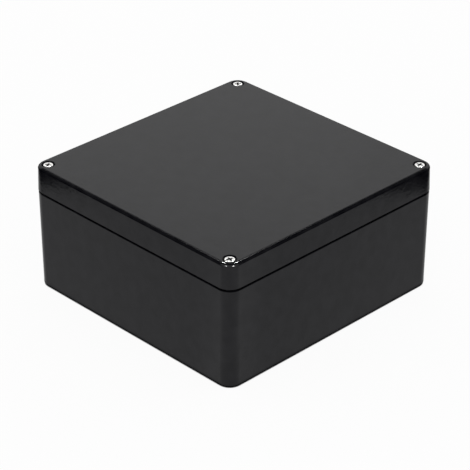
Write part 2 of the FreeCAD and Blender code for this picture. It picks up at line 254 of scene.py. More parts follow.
class GasketSettings(bpy.types.PropertyGroup):
    """Form and finish of the sealing ring."""

    width: FloatProperty(
        name="Width", description="Width of the ring's section",
        subtype="DISTANCE", default=2.05 * MM,
    )
    edge_round: FloatProperty(
        name="Edge round", description="Rounded edges of the section",
        subtype="DISTANCE", default=0.45 * MM,
    )
    notch_x: FloatProperty(
        name="Notch along X", description="From the middle to the sealed space's side beside a post",
        subtype="DISTANCE", default=78.15 * MM,
    )
    notch_y: FloatProperty(
        name="Notch along Y", description="From the middle to the sealed space's end beside a post",
        subtype="DISTANCE", default=63.5 * MM,
    )
    line_offset: FloatProperty(
        name="Line offset", description="From the sealed space's outline to the middle of the ring",
        subtype="DISTANCE", default=0.875 * MM,
    )
    outward_round: FloatProperty(
        name="Outward corners", description="Radius of the sealed space's outward corners",
        subtype="DISTANCE", default=3.0 * MM,
    )
    inward_round: FloatProperty(
        name="Inward corners", description="Radius of the sealed space's corners beside a post",
        subtype="DISTANCE", default=5.0 * MM,
    )
    colour: FloatVectorProperty(
        name="Rubber", description="Colour of the rubber",
        subtype="COLOR", size=3, min=0, max=1, default=(0.05, 0.05, 0.052),
    )


class StageSettings(bpy.types.PropertyGroup):
    """Camera, floor and light."""

    azimuth: FloatProperty(
        name="Azimuth", description="Direction of view round the box",
        subtype="ANGLE", default=math.radians(45.517),
    )
    elevation: FloatProperty(
        name="Elevation", description="Height of the camera above the horizon",
        subtype="ANGLE", default=math.radians(29.908),
    )
    roll: FloatProperty(
        name="Roll", description="Turn of the camera about its own axis",
        subtype="ANGLE", default=math.radians(0.06),
    )
    distance: FloatProperty(
        name="Distance", description="From the camera to the point that it looks at",
        subtype="DISTANCE", default=1.40056,
    )
    aim: FloatVectorProperty(
        name="Aim", description="Point that the camera looks at",
        subtype="TRANSLATION", size=3, default=(0.00541, -0.004347, 0.040869),
    )
    lens: FloatProperty(
        name="Focal length", description="Focal length over a 36 mm sensor, in millimetres",
        default=159.79,
    )
    floor_reach: FloatProperty(
        name="Floor reach", description="From the middle to the floor's edge",
        subtype="DISTANCE", default=30.0,
    )
    floor_lap: FloatProperty(
        name="Floor lap", description="How far the floor reaches under the foot",
        subtype="DISTANCE", default=4 * MM,
    )
    floor_corner: FloatProperty(
        name="Floor corner", description="Radius of the corners of the floor's opening",
        subtype="DISTANCE", default=8 * MM,
    )
    floor_white: FloatProperty(
        name="Floor colour", description="How pale the floor is",
        min=0, max=1, default=0.95,
    )
    floor_glow: FloatProperty(
        name="Floor glow", description="Share of plain white in what the camera and mirrors see of the floor",
        min=0, max=1, default=0.94,
    )
    contact_reach: FloatProperty(
        name="Contact shadow", description="How near the box takes light from the floor",
        subtype="DISTANCE", default=4 * MM,
    )
    side_light: FloatProperty(
        name="Side light", description="White of the floor beside the box, as mirrors see it",
        min=0, max=1, default=0.68,
    )
    front_start: FloatProperty(
        name="Front light start", description="From the middle to where the floor's white grows",
        subtype="DISTANCE", default=0.11,
    )
    front_fade: FloatProperty(
        name="Front light fade", description="Length over which it grows to full white",
        subtype="DISTANCE", default=0.035,
    )
    collar_radius: FloatProperty(
        name="Collar radius", description="From the middle to the low black cloth round the box",
        subtype="DISTANCE", default=0.28,
    )
    collar_height: FloatProperty(
        name="Collar height", description="Height of the low black cloth",
        subtype="DISTANCE", default=0.12,
    )
    canopy_radius: FloatProperty(
        name="Canopy radius", description="From the middle to the black cloth overhead",
        subtype="DISTANCE", default=1.7,
    )
    side_glow: FloatProperty(
        name="Side glow", description="Dim light low down on both sides, which the lid's top mirrors there",
        min=0, default=0.13,
    )
    sky_level: FloatProperty(
        name="Sky level", description="Plain light from all round",
        min=0, default=0.8,
    )
    softbox_radiance: FloatProperty(
        name="Softbox radiance", description="Brightness of the large lamps behind the box",
        min=0, default=0.04,
    )
    highlight_radiance: FloatProperty(
        name="Highlight radiance", description="Brightness of the small lamps that only mirrors see",
        min=0, default=700.0,
    )
    highlight_size: FloatProperty(
        name="Highlight size", description="Side of those small lamps",
        subtype="DISTANCE", default=0.1,
    )


class ProjectBoxSettings(bpy.types.PropertyGroup):
    """All settings of the box and its stage."""

    moulding: PointerProperty(type=MouldingSettings)
    screw: PointerProperty(type=ScrewSettings)
    insert: PointerProperty(type=InsertSettings)
    gasket: PointerProperty(type=GasketSettings)
    stage: PointerProperty(type=StageSettings)


# Meshes


def smooth_object(name, points, faces, crease):
    """Object at the origin with smooth faces; edges sharper than the crease angle stay sharp."""
    mesh = bpy.data.meshes.new(name)
    mesh.from_pydata(points, [], faces)
    mesh.validate()
    mesh.polygons.foreach_set("use_smooth", np.ones(len(mesh.polygons), bool))
    mesh.set_sharp_from_angle(angle=crease)
    mesh.update()
    piece = bpy.data.objects.new(name, mesh)
    bpy.context.scene.collection.objects.link(piece)
    return piece


def skin_rings(rings, looped=False, first_pole=None, last_pole=None):
    """Points and faces of a surface laid over closed rings, an array of rings by places by 3.

    The surface is a function of two numbers, the ring and the place round it. Each face joins one
    step from ring to ring with one step round. A looped surface joins its last ring to its first,
    and a pole, added after the rings' points, closes an end with a fan. Rings that go outwards and
    then down give faces that point outwards.
    """
    count, around = rings.shape[:2]
    points = rings.reshape(-1, 3)
    index = np.arange(count * around).reshape(count, around)
    near = index if looped else index[:-1]
    far = np.roll(index, -1, axis=0) if looped else index[1:]
    quads = np.stack([near, far, np.roll(far, -1, axis=1), np.roll(near, -1, axis=1)], axis=-1)
    faces = quads.reshape(-1, 4).tolist()
    for pole, ring in ((first_pole, index[0]), (last_pole, index[-1, ::-1])):
        if pole is not None:
            centre = np.full(around, len(points))
            points = np.vstack([points, pole])
            faces += np.stack([centre, ring, np.roll(ring, -1)], axis=-1).tolist()
    return points, faces


def turn_rings(parts, angles, axis):
    """Rings about an upright axis, from parts that each give radii and heights, a row for a ring.

    x and y are the axis's own plus the radius times the cosine and sine of the angle.
    """
    columns = len(angles)
    radii = np.vstack([np.broadcast_to(rows, (len(rows), columns)) for rows, _ in parts])
    heights = np.vstack([np.broadcast_to(rows, (len(rows), columns)) for _, rows in parts])
    rings = np.empty(radii.shape + (3,))
    rings[..., 0] = axis[0] + radii * np.cos(angles)
    rings[..., 1] = axis[1] + radii * np.sin(angles)
    rings[..., 2] = heights
    return rings


def thread_rise(angles, heights, pitch, root_flat=0.25, crest_flat=0.125):
    """How far a right-hand thread stands out of its root, from 0 to 1.

    A triangle wave in height over pitch less angle over a full turn, cut off flat at its foot and
    its tip by the shares of the pitch that the root and the crest are wide.
    """
    wave = np.abs(2 * ((heights / pitch - angles / FULL_TURN) % 1.0) - 1)
    return np.clip((wave - root_flat) / (1 - root_flat - crest_flat), 0, 1)


def ramp(start, end, values):
    """0 before the start, 1 past the end and straight between them; the start may be the larger."""
    return np.clip((values - start) / (end - start), 0, 1)


def finish(piece, body, slot, material, *nodes):
    """Give a piece its material, let it ride on a body and let it stand for CAD nodes."""
    piece.data.materials.clear()
    piece.data.materials.append(material)
    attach(piece, body)
    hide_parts(*nodes)


def merged_shell(node, name, crease):
    """Copy of a carried node, merged and freed of the lines between flat triangles, then smoothed.

    Weighted normals let the large flat faces rule the shading of the rounds beside them.
    """
    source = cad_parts[node].data
    shell = bmesh.new()
    shell.from_mesh(source)
    bmesh.ops.remove_doubles(shell, verts=shell.verts, dist=0.001 * MM)
    bmesh.ops.dissolve_limit(
        shell, angle_limit=math.radians(0.05), verts=shell.verts, edges=shell.edges,
    )
    points = [vertex.co[:] for vertex in shell.verts]
    faces = [[vertex.index for vertex in face.verts] for face in shell.faces]
    shell.free()
    piece = smooth_object(name, points, faces, crease)
    weighting = piece.modifiers.new("Weighted normals", "WEIGHTED_NORMAL")
    weighting.keep_sharp = True
    return piece


# Materials


def new_material(name):
    """Node material with only its shader and output; returns the material, its tree and the shader."""
    material = bpy.data.materials.new(name)
    material.use_nodes = True
    tree = material.node_tree
    return material, tree, tree.nodes["Principled BSDF"]


def add_node(tree, kind, **values):
    """Node of a kind, with its own properties and its inputs set by name.

    A value that is another node's output is linked to the input.
    """
    node = tree.nodes.new(kind)
    for name, value in values.items():
        title = name.replace("_", " ").title()
        if isinstance(value, bpy.types.NodeSocket):
            tree.links.new(value, node.inputs[title])
        elif hasattr(node, name):
            setattr(node, name, value)
        else:
            node.inputs[title].default_value = value
    return node


def noise(tree, size, detail):
    """Soft random pattern whose patches are about so many metres wide, in the piece's own place."""
    place = add_node(tree, "ShaderNodeTexCoord").outputs["Object"]
    pattern = add_node(tree, "ShaderNodeTexNoise", vector=place, scale=1 / size, detail=detail)
    return pattern.outputs["Fac"]


def blend_colours(tree, factor, first, second, reach=(0.35, 0.65)):
    """Colour that goes from one to another as a factor goes from one end of its reach to the other."""
    colours = add_node(tree, "ShaderNodeValToRGB", fac=factor)
    for element, position, colour in zip(colours.color_ramp.elements, reach, (first, second)):
        element.position = position
        element.color = (*colour, 1)
    return colours.outputs["Color"]


def spread_value(tree, factor, low, high, reach=(0.3, 0.7)):
    """Number that goes from one value to another as a factor goes from one end of its reach to the other."""
    start, end = reach
    spread = add_node(
        tree, "ShaderNodeMapRange", value=factor, from_min=start, from_max=end, to_min=low, to_max=high,
    )
    return spread.outputs["Result"]


def mottled(tree, colour, dull, size, detail=4.0):
    """Colour that falls to a share of itself in patches about so many metres wide."""
    return blend_colours(tree, noise(tree, size, detail), [dull * value for value in colour], colour)


def uneven(tree, low, high, size, detail=4.0):
    """Number that wanders between two values, in patches about so many metres wide."""
    return spread_value(tree, noise(tree, size, detail), low, high)


def emboss(tree, size, depth, detail=2.0, under=None):
    """Bump of a random relief, its width and depth in metres, over another bump if one is given."""
    bump = add_node(tree, "ShaderNodeBump", distance=depth, height=noise(tree, size, detail))
    if under is not None:
        tree.links.new(under, bump.inputs["Normal"])
    return bump.outputs["Normal"]


def marked_colour(tree, mark, first, second):
    """First colour, and the second one where the piece's attribute of that name is 1."""
    marked = add_node(tree, "ShaderNodeAttribute", attribute_name=mark).outputs["Fac"]
    return add_node(tree, "ShaderNodeMixRGB", fac=marked, color1=first, color2=second).outputs["Color"]


def dress(tree, shader, tone, sheen, relief):
    """Link a colour, a roughness and a bump to a shader."""
    tree.links.new(tone, shader.inputs["Base Color"])
    tree.links.new(sheen, shader.inputs["Roughness"])
    tree.links.new(relief, shader.inputs["Normal"])


def moulded_plastic(settings):
    """Black moulded plastic, shared by the base and the lid: two close tones and an uneven sheen.

    Its relief is the slow waves of cooling, then the shallow dimples of a thick wall, then the
    tool's grain.
    """
    found = bpy.data.materials.get("moulded_plastic")
    if found:
        return found
    material, tree, shader = new_material("moulded_plastic")
    shader.inputs["IOR"].default_value = settings.refraction
    patches = noise(tree, settings.tone_size, detail=5.0)
    tone = blend_colours(tree, patches, settings.dark, settings.pale)
    sheen = uneven(tree, settings.gloss, settings.satin, size=settings.sheen_size, detail=6.0)
    waves = emboss(tree, settings.flow_size, settings.flow_depth, detail=1.0)
    peel = emboss(tree, settings.peel_size, settings.peel_depth, under=waves)
    grain = emboss(tree, settings.grain_size, settings.grain_depth, under=peel)
    dress(tree, shader, tone, sheen, grain)
    return material


def plated_steel(settings):
    """Bright plated steel with fine turning marks, greyer on the shank, and painted shade in the recess: a
    dark colour there stands in for its shadow.
    """
    material, tree, shader = new_material("plated_steel")
    shader.inputs["Metallic"].default_value = 1.0
    bright = mottled(tree, settings.colour, dull=0.88, size=0.8 * MM)
    rolled = mottled(tree, settings.rolled, dull=0.7, size=1.2 * MM)
    # Painted shade: the recess gets a dark colour in place of its shadow.
    recess_shade = mottled(tree, settings.recess_shade, dull=0.6, size=0.4 * MM, detail=3.0)
    tone = marked_colour(tree, "recess", marked_colour(tree, "shank", bright, rolled), recess_shade)
    sheen = uneven(tree, low=0.8 * settings.roughness, high=1.3 * settings.roughness, size=0.5 * MM)
    marks = emboss(tree, size=0.12 * MM, depth=0.0015 * MM)
    dress(tree, shader, tone, sheen, marks)
    return material


def turned_brass(settings):
    """Turned brass, a little dull in patches, with fine turning marks."""
    material, tree, shader = new_material("turned_brass")
    shader.inputs["Metallic"].default_value = 1.0
    tone = mottled(tree, settings.colour, dull=0.75, size=1.1 * MM)
    sheen = uneven(tree, low=0.8 * settings.roughness, high=1.4 * settings.roughness, size=0.7 * MM)
    marks = emboss(tree, size=0.1 * MM, depth=0.002 * MM)
    dress(tree, shader, tone, sheen, marks)
    return material


def seal_rubber(settings):
    """Matt rubber with a fine pitted skin."""
    material, tree, shader = new_material("seal_rubber")
    tone = mottled(tree, settings.colour, dull=0.7, size=3 * MM)
    sheen = uneven(tree, low=0.6, high=0.8, size=2 * MM, detail=3.0)
    pits = emboss(tree, size=0.3 * MM, depth=0.02 * MM, detail=3.0)
    dress(tree, shader, tone, sheen, pits)
    return material


# Pieces


def make_moulding(settings, node):
    """The base's or the lid's own solid, smoothed, in black plastic."""
    shell = merged_shell(node, f"{node}_moulding", settings.crease)
    finish(shell, node, "moulded_black", moulded_plastic(settings), node)


def cross_outline(reach, wing, tip_steps=4, side_steps=7):
    """Angles and radii of a plus-shaped outline, seen from its middle.

    One quarter is the straight tip of an arm, its side in to the corner between two arms, and the
    next arm's side out again, each cut into equal steps. The other quarters are turned copies.
    """
    tip = np.linspace(-wing, wing, tip_steps, endpoint=False)
    inward = np.linspace(reach, wing, side_steps, endpoint=False)
    outward = np.linspace(wing, reach, side_steps, endpoint=False)
    across = np.concatenate([np.full(tip_steps, reach), inward, np.full(side_steps, wing)])
    along = np.concatenate([tip, np.full(side_steps, wing), outward])
    quarter = np.arctan2(along, across)
    angles = (quarter + QUARTER_TURN * np.arange(4)[:, None]).ravel()
    return angles, np.tile(np.hypot(across, along), 4)


def screw_rings(settings, corner, face_rings=6, edge_rings=5):
    """Rings from the foot of the recess over the head and down the thread to the tip.

    In the recess the radius is the plus outline times a share that grows to 1 at its mouth. On the
    face it goes straight from the outline to a circle while the height falls with the radius
    squared. The edge is a quarter circle, and the shank adds to a root radius the thread, which
    fades out at both ends.
    """
    low, high = SCREW_BOXES[corner]
    top = high.z
    seat = top - settings.head_height
    head_radius = (high.x - low.x) / 2
    face_radius = head_radius - settings.edge_round
    angles, outline = cross_outline(settings.recess_span / 2, settings.recess_wing / 2)
    angles = angles + math.radians(CORNERS[corner])

    rise = np.linspace(0, 1, RECESS_RINGS)[:, None]
    recess_radii = outline * (settings.recess_taper + (1 - settings.recess_taper) * rise)
    mouth_drop = settings.crown * (outline / face_radius) ** 2
    recess_heights = top - mouth_drop - settings.recess_depth * (1 - rise)

    out = np.linspace(0, 1, face_rings + 1)[1:, None]
    face_radii = outline * (1 - out) + face_radius * out
    face_heights = top - settings.crown * (face_radii / face_radius) ** 2

    bend = np.linspace(0, QUARTER_TURN, edge_rings + 1)[1:, None]
    edge_top = top - settings.crown
    edge_radii = face_radius + settings.edge_round * np.sin(bend)
    edge_heights = edge_top - settings.edge_round * (1 - np.cos(bend))

    chamfer = settings.chamfer
    neck = settings.shank_radius - settings.thread_depth / 2
    foot_radii = np.array([head_radius, head_radius - chamfer, neck + chamfer, neck])[:, None]
    foot_heights = np.array([seat + chamfer, seat, seat, seat - chamfer])[:, None]

    pitch = settings.pitch
    root = settings.shank_radius - settings.thread_depth
    shank_top = seat - 2 * chamfer
    shank_foot = low.z + pitch
    shank_rings = int((seat - low.z) / pitch * THREAD_RINGS)
    shank_heights = np.linspace(shank_top, shank_foot, shank_rings)[:, None]
    fade = ramp(shank_top, seat - pitch, shank_heights)
    fade = fade * ramp(shank_foot, shank_foot + pitch, shank_heights)
    rises = thread_rise(angles, shank_heights, pitch)
    shank_radii = root + settings.thread_depth * rises * fade
    tip_radii = np.array([root, root - pitch / 2])[:, None]
    tip_heights = np.array([low.z + pitch / 2, low.z])[:, None]

    parts = (
        (recess_radii, recess_heights),
        (face_radii, face_heights),
        (edge_radii, edge_heights),
        (foot_radii, foot_heights),
        (shank_radii, shank_heights),
        (tip_radii, tip_heights),
    )
    return turn_rings(parts, angles, axis_of((low, high)))


def make_screw(settings, corner, material):
    """One lid screw, closed by a point in its recess and a flat end.

    Two attributes mark where its colour changes: "recess" is 1 below the recess's mouth, where a dark
    colour is painted in as shade, and "shank" is 1 below the head's seat.
    """
    rings = screw_rings(settings, corner)
    across, along = axis_of(SCREW_BOXES[corner])
    pit = rings[0, :, 2].min() - settings.recess_point
    points, faces = skin_rings(
        rings, first_pole=(across, along, pit), last_pole=(across, along, rings[-1, 0, 2]),
    )
    piece = smooth_object(f"screw_{corner}", points, faces, crease=math.radians(35))
    ring_count, columns = rings.shape[:2]
    # Mask of the recess, where the painted shade goes.
    recess = np.zeros(len(points))
    recess[:(RECESS_RINGS - 1) * columns] = 1
    recess[ring_count * columns] = 1
    seat = SCREW_BOXES[corner][1].z - settings.head_height
    shank = np.where(points[:, 2] < seat, 1.0, 0.0)
    for mark, values in (("recess", recess), ("shank", shank)):
        piece.data.attributes.new(mark, "FLOAT", "POINT").data.foreach_set("value", values)
    finish(piece, f"screw_{corner}", "screw_steel", material, f"lid_screw_{corner}")


def insert_rings(settings, screw, corner, wall_rings=41):
    """Rings over the top, down the knurled wall, under the foot and up the threaded bore.

    The wall's radius is the insert's less a triangle wave round the axis in each knurled band and
    less the waist's depth between them. The bore's radius is the screw's thread and some air.
    """
    low, high = INSERT_BOXES[corner]
    radius = (high.x - low.x) / 2
    length = high.z - low.z
    angles = np.linspace(0, FULL_TURN, settings.teeth * TOOTH_COLUMNS, endpoint=False)
    edge = settings.edge

    levels = np.linspace(high.z - edge, low.z + edge, wall_rings)[:, None]
    share = (high.z - levels) / length
    waist = ramp(settings.waist_start, settings.waist_start + settings.waist_slope, share)
    waist = waist * ramp(settings.waist_end, settings.waist_end - settings.waist_slope, share)
    teeth = np.abs(2 * ((angles * settings.teeth / FULL_TURN) % 1.0) - 1)
    wall = radius - settings.knurl_depth * teeth * (1 - waist) - settings.waist_depth * waist

    root = screw.shank_radius - screw.thread_depth + settings.bore_air
    bore_rings = int(length / screw.pitch * THREAD_RINGS)
    bore_levels = np.linspace(low.z + edge, high.z - edge, bore_rings)[:, None]
    bore = root + screw.thread_depth * thread_rise(angles, bore_levels, screw.pitch)
    mouth = root + screw.thread_depth + edge
    rim = radius - settings.knurl_depth - edge

    end_radii = np.array([mouth, rim])[:, None]
    parts = (
        (end_radii, np.full((2, 1), high.z)),
        (wall, levels),
        (end_radii[::-1], np.full((2, 1), low.z)),
        (bore, bore_levels),
    )
    return turn_rings(parts, angles, axis_of((low, high)))


def make_insert(settings, screw, corner, material):
    """One threaded insert, a ring closed through its bore."""
    points, faces = skin_rings(insert_rings(settings, screw, corner), looped=True)
    piece = smooth_object(f"brass_insert_{corner}", points, faces, crease=math.radians(30))
    finish(piece, "base", "insert_brass", material, f"insert_{corner}")


def seal_line(settings, steps=8):
    """Places and outward directions along the middle of the sealing ring, seen from above.

    The line runs along X and Y, and quarter circles join its runs. A circle's centre is its corner
    less the arriving way and plus the leaving way, each times the radius. Its points are the
    centre plus the radius times the cosine and sine of an angle, which turns by a quarter to the
    left at an outward corner and to the right at an inward one.
    """
    offset = settings.line_offset
    far = np.array([GASKET_HIGH.x, GASKET_HIGH.y]) - settings.width / 2
    near = np.array([settings.notch_x, settings.notch_y]) + offset
    outward = settings.outward_round + offset
    inward = settings.inward_round - offset
    quarter = np.array([
        (far[0], near[1], outward),
        (near[0], near[1], -inward),
        (near[0], far[1], outward),
    ])
    mirrored = quarter[::-1]
    corners = np.vstack([
        quarter,
        mirrored * (-1, 1, 1),
        quarter * (-1, -1, 1),
        mirrored * (1, -1, 1),
    ])
    places, radii = corners[:, :2], corners[:, 2:]
    leave = np.roll(places, -1, axis=0) - places
    leave = leave / np.linalg.norm(leave, axis=1, keepdims=True)
    arrive = np.roll(leave, 1, axis=0)
    size = np.abs(radii)
    centres = places - arrive * size + leave * size
    angle = np.arctan2(-leave[:, 1], -leave[:, 0])[:, None]
    turn = np.sign(radii) * np.linspace(0, QUARTER_TURN, steps)
    way = np.stack([np.cos(angle + turn), np.sin(angle + turn)], axis=-1)
    line = centres[:, None, :] + size[:, None] * way
    outwards = way * np.sign(radii)[:, None]
    return line.reshape(-1, 2), outwards.reshape(-1, 2)


def make_gasket(settings, material, steps=5):
    """Sealing ring: a rounded section carried along the seal's line.

    The section is a rounded rectangle: each of its corners is a quarter circle about a centre set
    in by the radius. A point of the surface is the line's point plus the outward direction times
    the section's first coordinate, and the section's second coordinate is its height.
    """
    line, outwards = seal_line(settings)
    height = GASKET_HIGH.z - GASKET_LOW.z
    middle = (GASKET_HIGH.z + GASKET_LOW.z) / 2
    bend = np.linspace(0, QUARTER_TURN, steps)
    angles = (bend + QUARTER_TURN * np.arange(4)[:, None]).ravel()
    across = settings.width / 2 - settings.edge_round
    upward = height / 2 - settings.edge_round
    section_x = np.repeat([1, -1, -1, 1], steps) * across + settings.edge_round * np.cos(angles)
    section_z = np.repeat([1, 1, -1, -1], steps) * upward + settings.edge_round * np.sin(angles)
    rings = np.empty((len(line), len(angles), 3))
    rings[..., :2] = line[:, None, :] + outwards[:, None, :] * section_x[:, None]
    rings[..., 2] = middle + section_z
    points, faces = skin_rings(rings, looped=True)
    piece = smooth_object("gasket_ring", points, faces, crease=math.radians(50))
    finish(piece, "lid", "seal_rubber", material, "lid_gasket")


# Stage

# Small lamps that only mirrors see, one for each highlight on the lid's rounded edges: their
# turn and elevation in degrees and their distance in metres.
HIGHLIGHT_LAMPS = {
    "left_overhead": (53, 66, 1.2),
    "right_overhead": (-48, 66, 1.2),
    "left_front": (155, 12, 1.3),
    "right_front": (-154, 10, 1.3),
}

# Softboxes behind the box: their elevation in degrees and their height in metres. Both have the
# same turn in degrees, and the same distance and width in metres.
SOFTBOXES = {"back_softbox_low": (35, 0.46), "back_softbox_high": (37, 0.36)}
SOFTBOX_TURN = 14
SOFTBOX_DISTANCE = 1.3
SOFTBOX_WIDTH = 0.9

# The lamps face this place in the box.
LAMP_AIM = Vector((0, 0, 0.05))

# Width of the camera's sensor in millimetres.
SENSOR_WIDTH = 36.0

# Shares of open sky over which the floor's white grows, for the camera and for mirrors.
CAMERA_SKY = (0.3, 0.5)
MIRROR_SKY = (0.62, 0.95)

# The floor is this far below the foot, and its first circle clears the box's corners.
FLOOR_DROP = 0.02 * MM
FLOOR_CIRCLE = 0.16

# Height of the low cloth as a share of its full height, by the turn to either side, and its
# radius as a share, by the turn from right to left.
COLLAR_TURNS, COLLAR_HEIGHTS = (0, 100, 125, 150), (1, 1, 0.85, 0)
COLLAR_ENDS, COLLAR_RADII = (-90, 90), (0.99, 1.02)

# Elevation in degrees of the upper cloth's lower edge, by the turn to either side.
CANOPY_TURNS, CANOPY_EDGES = (0, 20, 68, 74, 106, 112, 180), (41, 45, 45, 2, 2, 45, 45)

# How far to the side the cloth's glow starts and is full, as a share of the canopy's radius.
GLOW_REACH = (0.7, 0.92)


def heading_of(turn):
    """Angle about Z of a turn in degrees to the left of straight behind the box, as the camera sees it."""
    return bpy.context.scene.project_box.stage.azimuth + QUARTER_TURN + np.radians(turn)


def direction(turn, elevation):
    """Unit vector along a turn and an elevation in degrees: the cosines and sines of the two angles."""
    heading = heading_of(turn)
    rise = math.radians(elevation)
    return Vector((math.cos(rise) * math.cos(heading), math.cos(rise) * math.sin(heading), math.sin(rise)))


def calculate(tree, operation, *values):
    """Result of a math node on other nodes' outputs."""
    node = add_node(tree, "ShaderNodeMath", operation=operation)
    for socket, value in zip(node.inputs, values):
        tree.links.new(value, socket)
    return node.outputs[0]


def distance_along(tree, way):
    """How far a place lies along a vector: the dot product of the two."""
    place = add_node(tree, "ShaderNodeTexCoord").outputs["Object"]
    product = add_node(tree, "ShaderNodeVectorMath", operation="DOT_PRODUCT", vector=place)
    product.inputs[1].default_value = way
    return product.outputs["Value"]


def mix_shaders(tree, factor, first, second):
    """The first shader where the factor is 0, and the second one where it is 1."""
    mix = add_node(tree, "ShaderNodeMixShader", fac=factor)
    tree.links.new(first, mix.inputs[1])
    tree.links.new(second, mix.inputs[2])
    return mix.outputs[0]


def seen_white(tree, plain, seen):
    """The second of two shaders for what the camera, mirrors and glass see, and else the first."""
    rays = add_node(tree, "ShaderNodeLightPath").outputs
    either = calculate(tree, "MAXIMUM", rays["Is Camera Ray"], rays["Is Glossy Ray"])
    every = calculate(tree, "MAXIMUM", either, rays["Is Transmission Ray"])
    return mix_shaders(tree, every, plain, seen)


def make_world(settings):
    """Plain soft light from all round, white to the camera and to mirrors."""
    world = bpy.data.worlds.new("studio")
    world.use_nodes = True
    tree = world.node_tree
    plain = tree.nodes["Background"]
    plain.inputs["Color"].default_value = (1, 1, 1, 1)
    plain.inputs["Strength"].default_value = settings.sky_level
    white = add_node(tree, "ShaderNodeBackground")
    white.inputs["Color"].default_value = (1, 1, 1, 1)
    light = seen_white(tree, plain.outputs[0], white.outputs[0])
    tree.links.new(light, tree.nodes["World Output"].inputs["Surface"])
    bpy.context.scene.world = world


def floor_light(tree, settings):
    """Strength of the floor's white as the camera and as mirrors see it.

    It falls to nothing where the box shuts the sky out, which gives the rounded foot its dark
    line. Mirrors need more open sky for full white than the camera does, and they see a dimmer
    floor beside and behind the box than in front of it.
    """
    sky = add_node(tree, "ShaderNodeAmbientOcclusion", samples=16, distance=settings.contact_reach)
    seen = spread_value(tree, sky.outputs["AO"], 0, 1, CAMERA_SKY)
    open_sky = spread_value(tree, sky.outputs["AO"], 0, 1, MIRROR_SKY)
    before = (settings.front_start, settings.front_start + settings.front_fade)
    front = spread_value(tree, distance_along(tree, -direction(0, 0)), settings.side_light, 1, before)
    mirrored = calculate(tree, "MULTIPLY", open_sky, front)
    camera_ray = add_node(tree, "ShaderNodeLightPath").outputs["Is Camera Ray"]
    either = add_node(tree, "ShaderNodeMix", data_type="FLOAT", factor=camera_ray, a=mirrored, b=seen)
    return either.outputs["Result"]


def floor_material(settings):
    """Pale floor that keeps the box's shadow: most of what the camera sees is plain white.

    From below the camera looks through it.
    """
    material = bpy.data.materials.new("pale_floor")
    material.use_nodes = True
    tree = material.node_tree
    tree.nodes.remove(tree.nodes["Principled BSDF"])
    plain = add_node(tree, "ShaderNodeBsdfDiffuse")
    plain.inputs["Color"].default_value = (settings.floor_white,) * 3 + (1,)
    glow = add_node(tree, "ShaderNodeEmission", strength=floor_light(tree, settings))
    seen = mix_shaders(tree, settings.floor_glow, plain.outputs[0], glow.outputs[0])
    above = seen_white(tree, plain.outputs[0], seen)
    clear = add_node(tree, "ShaderNodeBsdfTransparent")
    below = add_node(tree, "ShaderNodeNewGeometry").outputs["Backfacing"]
    surface = mix_shaders(tree, below, above, clear.outputs[0])
    tree.links.new(surface, tree.nodes["Material Output"].inputs["Surface"])
    return material


def make_floor(settings, columns=96, circle_count=12):
    """Round floor just under the foot, open where the box stands so that light reaches its underside.

    The first ring is a rectangle with round corners inside the foot: each point is its corner's
    centre plus the corner's radius times the cosine and sine of the angle. The others are circles
    of growing radius about the origin.
    """
    angles = (np.arange(columns) + 0.5) * FULL_TURN / columns
    ways = np.stack([np.cos(angles), np.sin(angles)], axis=-1)
    centre = np.array(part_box("base")[1])[:2] - settings.floor_lap - settings.floor_corner
    opening = np.sign(ways) * centre + settings.floor_corner * ways
    circles = np.geomspace(FLOOR_CIRCLE, settings.floor_reach, circle_count)[:, None, None] * ways
    rings = np.full((circle_count + 1, columns, 3), -FLOOR_DROP)
    rings[0, :, :2] = opening
    rings[1:, :, :2] = circles
    points, faces = skin_rings(rings)
    floor = smooth_object("floor", points, faces, crease=math.pi)
    floor.data.materials.append(floor_material(settings))


def make_cloth(name, points, material):
    """Cloth over a grid of points, rows by columns by 3, which only mirrors show."""
    index = np.arange(points[..., 0].size).reshape(points.shape[:2])
    quads = np.stack([index[:-1, :-1], index[:-1, 1:], index[1:, 1:], index[1:, :-1]], axis=-1)
    cloth = smooth_object(name, points.reshape(-1, 3), quads.reshape(-1, 4).tolist(), crease=math.pi)
    cloth.data.materials.append(material)
    cloth.visible_camera = False
    cloth.visible_diffuse = False
    cloth.visible_transmission = False
    cloth.visible_shadow = False


def cloth_material(settings):
    """Black cloth, with a dim glow low down on both sides of the box.

    The glow grows with how far a place lies straight to either side, as a share of the canopy's
    radius, so the canopy has it and the collar has not.
    """
    material, tree, shader = new_material("black_cloth")
    shader.inputs["Base Color"].default_value = (0, 0, 0, 1)
    shader.inputs["Specular IOR Level"].default_value = 0
    shader.inputs["Emission Color"].default_value = (1, 1, 1, 1)
    sideways = distance_along(tree, direction(90, 0) / settings.canopy_radius)
    aside = calculate(tree, "ABSOLUTE", sideways)
    glow = spread_value(tree, aside, 0, settings.side_glow, GLOW_REACH)
    tree.links.new(glow, shader.inputs["Emission Strength"])
    return material


